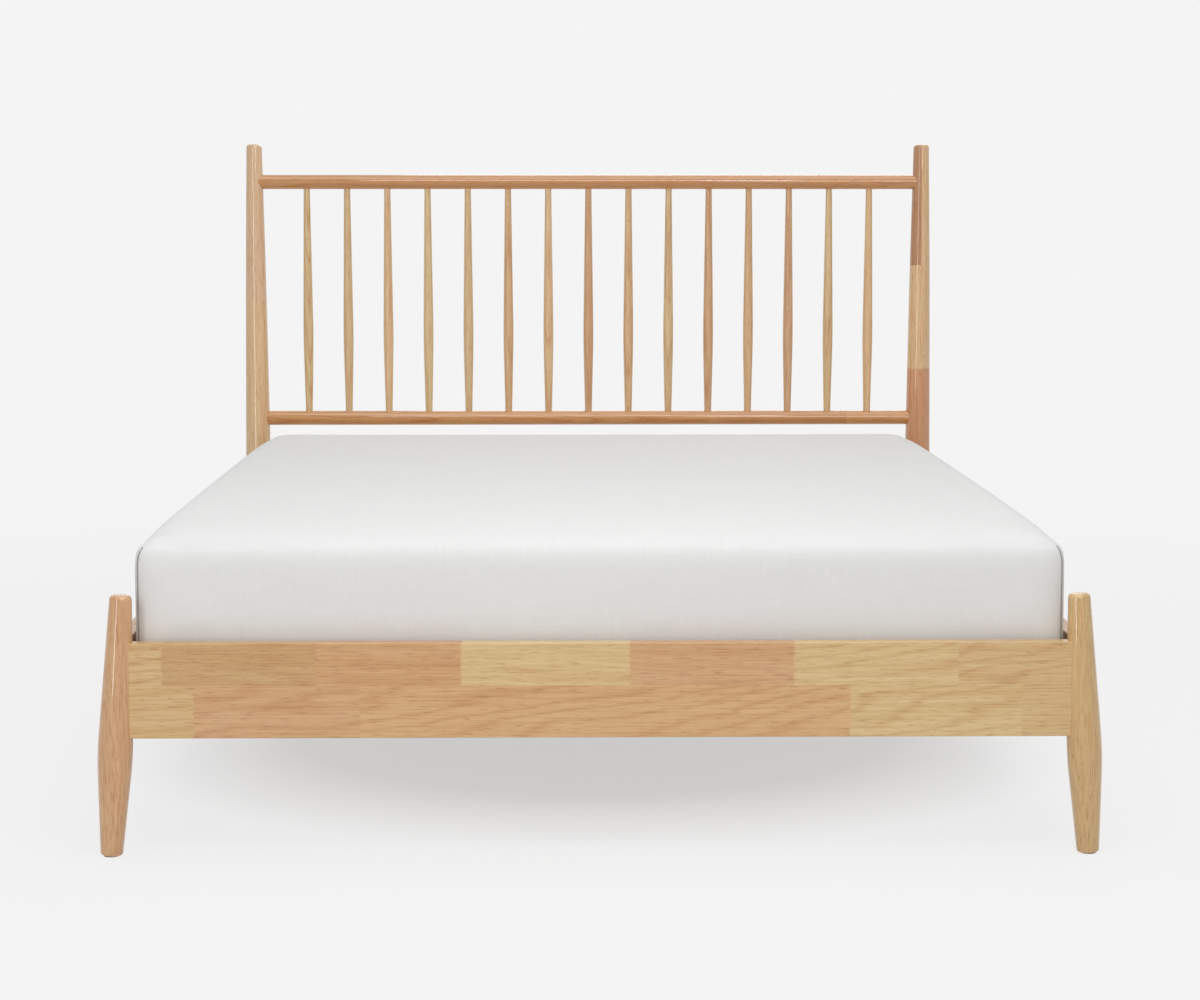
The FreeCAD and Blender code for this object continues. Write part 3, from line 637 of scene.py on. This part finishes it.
recess = bmesh.ops.extrude_discrete_faces(head_mesh, faces=[top])["faces"][0]
bmesh.ops.translate(head_mesh, verts=recess.verts, vec=(0, 0, -RECESS_DEPTH))
screw_head = bpy.data.meshes.new("screw_head")
head_mesh.to_mesh(screw_head)
head_mesh.free()


def screws(name, spots, outward):
    """Screw heads at some spots, all facing one way."""
    mesh = bmesh.new()
    turn = Vector((0, 0, 1)).rotation_difference(Vector(outward)).to_matrix().to_4x4()
    for spot in spots:
        count = len(mesh.verts)
        mesh.from_mesh(screw_head)
        mesh.verts.ensure_lookup_table()
        bmesh.ops.transform(mesh, verts=mesh.verts[count:], matrix=Matrix.Translation(spot) @ turn)
    row = finished(name, mesh, zinc_plate)
    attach(row, "frame")


slat_spots = []
for number in range(1, SLAT_COUNT + 1):
    low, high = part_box(f"slat_{number:02d}")
    for side in ("left", "right"):
        ledge_low, ledge_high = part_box(f"slat_ledge_{side}")
        slat_spots.append(((ledge_low.x + ledge_high.x) / 2, (low.y + high.y) / 2, high.z))
screws("slat_screws", slat_spots, (0, 0, 1))
for side, sign in (("left", -1), ("right", 1)):
    low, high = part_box(f"slat_ledge_{side}")
    inner = high.x if sign < 0 else low.x
    pitch = (high.y - low.y) / LEDGE_SCREWS
    level = (low.z + high.z) / 2
    spots = [(inner, low.y + pitch * (number + 0.5), level) for number in range(LEDGE_SCREWS)]
    screws(f"ledge_screws_{side}", spots, (-sign, 0, 0))
for end, sign in (("foot", 1), ("head", -1)):
    low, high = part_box(f"beam_saddle_{end}")
    face = low.y + SADDLE_PLATE if sign > 0 else high.y - SADDLE_PLATE
    spots = [(side * SADDLE_SCREW_SPREAD, face, (low.z + high.z) / 2) for side in (-1, 1)]
    screws(f"saddle_screws_{end}", spots, (0, sign, 0))


# Centre leg: a square of the same softwood with eased edges, all of one length. It stands on a
# plated levelling glide, whose threaded stem turns in the leg.
LEG_ARRIS = 0.004
STEM_HALF = 0.005
STEM_PITCH = 0.0015
THREAD_DEPTH = 0.0006
GLIDE_THICK = 0.008
GLIDE_LOW_EDGE = 0.001
GLIDE_TOP_EDGE = 0.002
low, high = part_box("centre_leg")
leg_wood = rubberwood("leg_softwood", "Z", lambda x, y, z: z * 0.0, [PINE_WARM], gloss=BARE_GLOSS, coat=0)
leg = board("centre_leg_square", leg_wood, low, high, arris=LEG_ARRIS)
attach(leg, "frame")
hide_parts("centre_leg")
low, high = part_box("levelling_glide")
foot_half = (high.x - low.x) / 2
foot_top = low.z + GLIDE_THICK
glide_profile = [
    (0, low.z),
    (foot_half - GLIDE_LOW_EDGE, low.z),
    (foot_half, low.z + GLIDE_LOW_EDGE),
    (foot_half, foot_top - GLIDE_TOP_EDGE),
    (foot_half - GLIDE_TOP_EDGE, foot_top),
    (STEM_HALF - THREAD_DEPTH, foot_top),
]
thread_count = int((high.z - foot_top) / STEM_PITCH)
for number in range(thread_count):
    glide_profile.append((STEM_HALF, foot_top + (number + 0.5) * STEM_PITCH))
    glide_profile.append((STEM_HALF - THREAD_DEPTH, foot_top + (number + 1) * STEM_PITCH))
glide_profile.append((0, foot_top + thread_count * STEM_PITCH))
glide = lathe("levelling_glide_turned", zinc_plate, glide_profile, 64)
moved(glide, Matrix.Translation(((low.x + high.x) / 2, (low.y + high.y) / 2, 0)))
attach(glide, "glide")
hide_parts("levelling_glide")


# Floor pads: discs of dark pressed felt, stuck under the four posts to save the floor. Those of the
# foot posts lie further out than the posts' tops, because the posts lean.
PAD_HALF = 0.013
FELT_DARK = (0.10, 0.075, 0.055)
FELT_PALE = (0.20, 0.16, 0.12)
felt = bpy.data.materials.new("pad_felt")
felt.use_nodes = True
felt_place = Socket(felt.node_tree).node("TexCoord", out="Object")
fuzz = felt_place.node("TexNoise", {"Vector": felt_place, "Scale": 1400.0, "Detail": 3.0})
felt_colour = mixed(fuzz, FELT_DARK, FELT_PALE)
felt_shader = felt.node_tree.nodes["Principled BSDF"]
felt.node_tree.links.new(felt_colour.socket, felt_shader.inputs["Base Color"])
felt_shader.inputs["Roughness"].default_value = 0.95
pad_mesh = bmesh.new()
for side, sign in (("left", -1), ("right", 1)):
    for end in ("foot", "head"):
        low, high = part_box(f"{end}_post_{side}")
        floor_x = sign * post_x
        if end == "foot":
            floor_x += sign * math.tan(FOOT_SPLAY) * (joint_height - PAD_THICK)
        made = bmesh.ops.create_cone(
            pad_mesh, cap_ends=True, segments=64, radius1=PAD_HALF, radius2=PAD_HALF, depth=PAD_THICK
        )
        spot = (floor_x, (low.y + high.y) / 2, PAD_THICK / 2)
        bmesh.ops.translate(pad_mesh, verts=made["verts"], vec=spot)
pads = finished("floor_pads_round", pad_mesh, felt, smooth=True)
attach(pads, "frame")
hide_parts("floor_pads")


# Mattress: foam under a plain fitted cover of off-white linen-look cloth. The cover is sewn at the
# four upright corners, crowns over the middle and rounds softly over its edges.
LINEN_DEEP = (0.765, 0.765, 0.76)
LINEN_PALE = (0.872, 0.872, 0.866)
LINEN_CLOUD = (0.96, 0.96, 0.96)
LINEN_SPECULAR = 0.2
YARN_PITCH = 0.0016


def linen(name, deep, pale):
    """Plain-woven cloth with slubs in both directions and a soft cloud of tone."""
    material = bpy.data.materials.new(name)
    material.use_nodes = True
    tree = material.node_tree
    place = Socket(tree).node("TexCoord", out="Object")
    spot = {axis: place.node("SeparateXYZ", {0: place}, out=axis) for axis in "XYZ"}
    slub_long = place.node("Mapping", {"Vector": place, "Scale": (14.0, 260.0, 260.0)})
    slub_wide = place.node("Mapping", {"Vector": place, "Scale": (260.0, 14.0, 14.0)})
    weft = place.node("TexNoise", {"Vector": slub_long, "Scale": 1.6, "Detail": 3.0})
    warp = place.node("TexNoise", {"Vector": slub_wide, "Scale": 1.6, "Detail": 3.0})
    cloud = place.node("TexNoise", {"Vector": place, "Scale": 5.0, "Detail": 4.0})
    turns = 2 * math.pi / YARN_PITCH
    over = spot["X"].maths("SINE", spot["X"] * turns)
    under = spot["Y"].maths("SINE", (spot["Y"] + spot["Z"]) * turns)
    weave = over * under
    tone = (weft + warp) * 0.5
    colour = mixed(tone, deep, pale)
    colour = mixed(cloud * 0.5, colour, LINEN_CLOUD, "MULTIPLY")
    shader = tree.nodes["Principled BSDF"]
    tree.links.new(colour.socket, shader.inputs["Base Color"])
    rough = 0.78 + tone * 0.1
    tree.links.new(rough.socket, shader.inputs["Roughness"])
    shader.inputs["Specular IOR Level"].default_value = LINEN_SPECULAR
    shader.inputs["Sheen Weight"].default_value = 0.25
    shader.inputs["Sheen Roughness"].default_value = 0.5
    height = weave * 0.35 + tone * 1.2
    bump = place.node("Bump", {"Height": height, "Strength": 0.3, "Distance": 0.0006})
    tree.links.new(bump.socket, shader.inputs["Normal"])
    return material


MATTRESS_CORNER = 0.024
MATTRESS_EDGE = 0.028
CROWN = 0.016
TUCK = 0.001
VOXEL = 0.014
CLOTH_STEPS = 14
MOVE_CAP = 0.006
low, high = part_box("mattress")
middle = (low + high) / 2
half = (high - low) / 2
mesh = bmesh.new()
bmesh.ops.create_cube(mesh, size=1)
body_high = high.z - CROWN
bmesh.ops.scale(mesh, verts=mesh.verts, vec=(2 * half.x - TUCK, 2 * half.y - TUCK, body_high - low.z))
bmesh.ops.translate(mesh, verts=mesh.verts, vec=(middle.x, middle.y, (body_high + low.z) / 2))
upright = [edge for edge in mesh.edges if abs(edge.verts[0].co.z - edge.verts[1].co.z) > 0.1]
bmesh.ops.bevel(
    mesh, geom=upright, offset=MATTRESS_CORNER, segments=8, profile=0.5, affect="EDGES", material=-1
)
rims = [edge for edge in mesh.edges if abs(edge.verts[0].co.z - edge.verts[1].co.z) < 0.001]
bmesh.ops.bevel(
    mesh, geom=rims, offset=MATTRESS_EDGE, segments=7, profile=0.5, affect="EDGES", material=-1
)
bmesh.ops.recalc_face_normals(mesh, faces=mesh.faces)
cover = linen("mattress_linen", LINEN_DEEP, LINEN_PALE)
mattress = finished("mattress_cover", mesh, cover, smooth=True)
remesh = mattress.modifiers.new("remesh", "REMESH")
remesh.mode = "VOXEL"
remesh.voxel_size = VOXEL
remesh.use_smooth_shade = True
bpy.context.view_layer.update()
evaluated = mattress.evaluated_get(bpy.context.evaluated_depsgraph_get())
mattress.data = bpy.data.meshes.new_from_object(evaluated)
mattress.modifiers.clear()
rest = [vertex.co.copy() for vertex in mattress.data.vertices]
cloth = mattress.modifiers.new("cloth", "CLOTH")
cloth.settings.quality = 4
cloth.settings.use_pressure = True
cloth.settings.uniform_pressure_force = 4
cloth.settings.effector_weights.gravity = 0
cloth.settings.tension_stiffness = 40
cloth.settings.bending_stiffness = 0.5
for step in range(1, CLOTH_STEPS + 1):
    bpy.context.scene.frame_set(step)
evaluated = mattress.evaluated_get(bpy.context.evaluated_depsgraph_get())
puffed = bpy.data.meshes.new_from_object(evaluated)
mattress.modifiers.clear()
bpy.context.scene.frame_set(1)
for vertex, start, swollen in zip(mattress.data.vertices, rest, puffed.vertices):
    move = swollen.co - start
    if move.length > MOVE_CAP:
        move = move.normalized() * MOVE_CAP
    vertex.co = start + move
# the crown is as high at the sides as in the middle, and falls only towards the two ends
for vertex in mattress.data.vertices:
    along = min(1, abs(vertex.co.y - middle.y) / half.y)
    lift = 1 - along ** 6
    height = (vertex.co.z - low.z) / (high.z - low.z)
    vertex.co.z += CROWN * lift * max(0, height) ** 3
    vertex.co.x = min(max(vertex.co.x, low.x), high.x)
    vertex.co.y = min(max(vertex.co.y, low.y), high.y)
    vertex.co.z = min(max(vertex.co.z, low.z), high.z)
subdivision = mattress.modifiers.new("subdivision", "SUBSURF")
subdivision.levels = 1
subdivision.render_levels = 1
for face in mattress.data.polygons:
    face.use_smooth = True
if not mattress.data.materials:
    mattress.data.materials.append(cover)
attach(mattress, "mattress")
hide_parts("mattress")


# Corner seams: a thin grey cord of the cover's own weave, sewn into the seam at each corner. Its dark
# grey is partly the cord's own colour and partly painted shade of the seam's crease. It runs from the
# cover's lower edge up the corner and a little way over the top.
# the cord's grey, made deep enough to stand in as painted shade along the seam's crease
CORD_AND_SHADE_DEEP = (0.28, 0.28, 0.27)
CORD_AND_SHADE_PALE = (0.36, 0.36, 0.35)
SEAM_RADIUS = 0.0014
SEAM_START = 0.012
SEAM_STEPS = 40
OVER_STEPS = 5
OVER_STEP_ANGLE = math.pi / 18
CAST_FROM_SIDE = 0.02
CAST_FROM_TOP = 0.09
seam_low = low.z + SEAM_START
seam_high = body_high - MATTRESS_EDGE
bpy.context.view_layer.update()
skin = BVHTree.FromObject(mattress, bpy.context.evaluated_depsgraph_get())
seam_curve = bpy.data.curves.new("corner_seams", "CURVE")
seam_curve.dimensions = "3D"
seam_curve.bevel_depth = SEAM_RADIUS
seam_curve.bevel_resolution = 3
for sign_x in (-1, 1):
    for sign_y in (-1, 1):
        inward = Vector((-sign_x, -sign_y, 0)).normalized()
        corner = Vector((middle.x + sign_x * half.x, middle.y + sign_y * half.y, 0))
        path = []
        for step in range(SEAM_STEPS + 1):
            level = seam_low + (seam_high - seam_low) * step / SEAM_STEPS
            start = corner - inward * CAST_FROM_SIDE + Vector((0, 0, level))
            path.append(skin.ray_cast(start, inward)[0])
        centre = path[-1] + inward * MATTRESS_EDGE
        for step in range(1, OVER_STEPS + 1):
            angle = OVER_STEP_ANGLE * step
            way = (inward * -math.cos(angle) + Vector((0, 0, math.sin(angle)))).normalized()
            path.append(skin.ray_cast(centre + way * CAST_FROM_TOP, -way)[0])
        spline = seam_curve.splines.new("POLY")
        spline.points.add(len(path) - 1)
        for point, spot in zip(spline.points, path):
            point.co = (*spot, 1)
seam_line = bpy.data.objects.new("corner_seam_line", seam_curve)
bpy.context.scene.collection.objects.link(seam_line)
bpy.context.view_layer.update()
evaluated = seam_line.evaluated_get(bpy.context.evaluated_depsgraph_get())
seam_data = bpy.data.meshes.new_from_object(evaluated)
bpy.data.objects.remove(seam_line)
seam_data.name = "corner_seams"
seam_data.materials.clear()
# the cord's material carries the painted shade of the seam
seam_data.materials.append(linen("seam_cord_and_painted_shade", CORD_AND_SHADE_DEEP, CORD_AND_SHADE_PALE))
seams = bpy.data.objects.new("corner_seams", seam_data)
bpy.context.scene.collection.objects.link(seams)
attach(seams, "mattress")


# Studio: a pale floor that fades into an even pale surround. Out from under the bed the floor takes a
# growing share of even glow, which is painted light that lightens the outer part of the bed's shadow and
# the posts' contact shadows. A tall narrow light stands left of the foot end, one hangs far in front at
# the right and is aimed at the headboard, one hangs near over the foot end, a broad one over the whole
# bed and a last one behind it.
SURROUND = 0.905
FLOOR_TONE = (0.9, 0.9, 0.9)
FLOOR_HALF = 9
FLOOR_FADE = (1.8, 4.4)
# how far out from the bed's middle, and by how much, the glow paints light over the floor's shadow
SHADOW_LIFT_REACH = (0.6, 1.0)
SHADOW_LIFT_SHARE = (0.62, 0.88)
SKY_STRENGTH = 0.39


def background_rays(place):
    """1 for the rays that see the pale background: the camera's, and those off gloss or through glass."""
    shown = place.node("LightPath", out="Is Camera Ray")
    for kind in ("Is Glossy Ray", "Is Transmission Ray"):
        shown = shown.maths("MAXIMUM", shown, place.node("LightPath", out=kind))
    return shown


floor_mesh = bmesh.new()
bmesh.ops.create_circle(floor_mesh, cap_ends=True, segments=96, radius=FLOOR_HALF)
floor_paint = bpy.data.materials.new("floor_paint")
floor_paint.use_nodes = True
floor_tree = floor_paint.node_tree
floor_place = Socket(floor_tree).node("TexCoord", out="Object")
reach = floor_place.node("VectorMath", {0: floor_place}, out="Value", operation="LENGTH")
fade = ranged(reach, *FLOOR_FADE)
floor_shader = floor_tree.nodes["Principled BSDF"]
floor_shader.inputs["Base Color"].default_value = (*FLOOR_TONE, 1)
floor_shader.inputs["Roughness"].default_value = 1
floor_shader.inputs["Specular IOR Level"].default_value = 0
glow = floor_tree.nodes.new("ShaderNodeEmission")
glow.inputs[0].default_value = (SURROUND, SURROUND, SURROUND, 1)
lifted_floor = floor_tree.nodes.new("ShaderNodeMixShader")
# painted light: the glow's share grows with distance from the bed's middle, lightening the outer part of
# its cast shadow on the floor
shadow_lift = ranged(reach, *SHADOW_LIFT_REACH, *SHADOW_LIFT_SHARE)
seen = background_rays(floor_place) * shadow_lift
floor_tree.links.new(seen.socket, lifted_floor.inputs[0])
floor_tree.links.new(floor_shader.outputs[0], lifted_floor.inputs[1])
floor_tree.links.new(glow.outputs[0], lifted_floor.inputs[2])
clear = floor_tree.nodes.new("ShaderNodeBsdfTransparent")
blend = floor_tree.nodes.new("ShaderNodeMixShader")
floor_tree.links.new(fade.socket, blend.inputs[0])
floor_tree.links.new(lifted_floor.outputs[0], blend.inputs[1])
floor_tree.links.new(clear.outputs[0], blend.inputs[2])
floor_tree.links.new(blend.outputs[0], floor_tree.nodes["Material Output"].inputs[0])
floor = finished("floor", floor_mesh, floor_paint)

world = bpy.data.worlds.new("studio")
bpy.context.scene.world = world
world.use_nodes = True
sky = world.node_tree.nodes["Background"]
sky.inputs[0].default_value = (1, 1, 1, 1)
sky.inputs[1].default_value = SKY_STRENGTH
surround = world.node_tree.nodes.new("ShaderNodeBackground")
surround.inputs[0].default_value = (SURROUND, SURROUND, SURROUND, 1)
shown = background_rays(Socket(world.node_tree))
choose = world.node_tree.nodes.new("ShaderNodeMixShader")
world.node_tree.links.new(shown.socket, choose.inputs[0])
world.node_tree.links.new(sky.outputs[0], choose.inputs[1])
world.node_tree.links.new(surround.outputs[0], choose.inputs[2])
world.node_tree.links.new(choose.outputs[0], world.node_tree.nodes["World Output"].inputs[0])


def soft_light(name, place, aim, size, power):
    """A rectangular light at a place, aimed at a point. The camera doesn't see it."""
    lamp = bpy.data.objects.new(name, bpy.data.lights.new(name, "AREA"))
    bpy.context.scene.collection.objects.link(lamp)
    lamp.data.shape = "RECTANGLE"
    lamp.data.size, lamp.data.size_y = size
    lamp.data.energy = power
    lamp.visible_camera = False
    lamp.location = place
    lamp.rotation_euler = (Vector(aim) - Vector(place)).to_track_quat("-Z", "Y").to_euler()


soft_light("tall", (-2.2, -3.8, 1.25), (0, 0, 0.6), (0.5, 2.4), 16)
soft_light("far", (1.4, -4.8, 2.9), (0, 1.0, 0.8), (1.6, 2.0), 28)
soft_light("near", (0.0, -2.2, 2.6), (0, -0.8, 0.5), (1.6, 0.8), 18)
soft_light("top", (0.2, -0.4, 4.6), (0, 0, 0.4), (4.0, 4.0), 70)
soft_light("back", (0.6, 4.6, 3.2), (0, 0.8, 0.5), (2.6, 1.4), 36)

bpy.context.scene.view_settings.view_transform = "Standard"
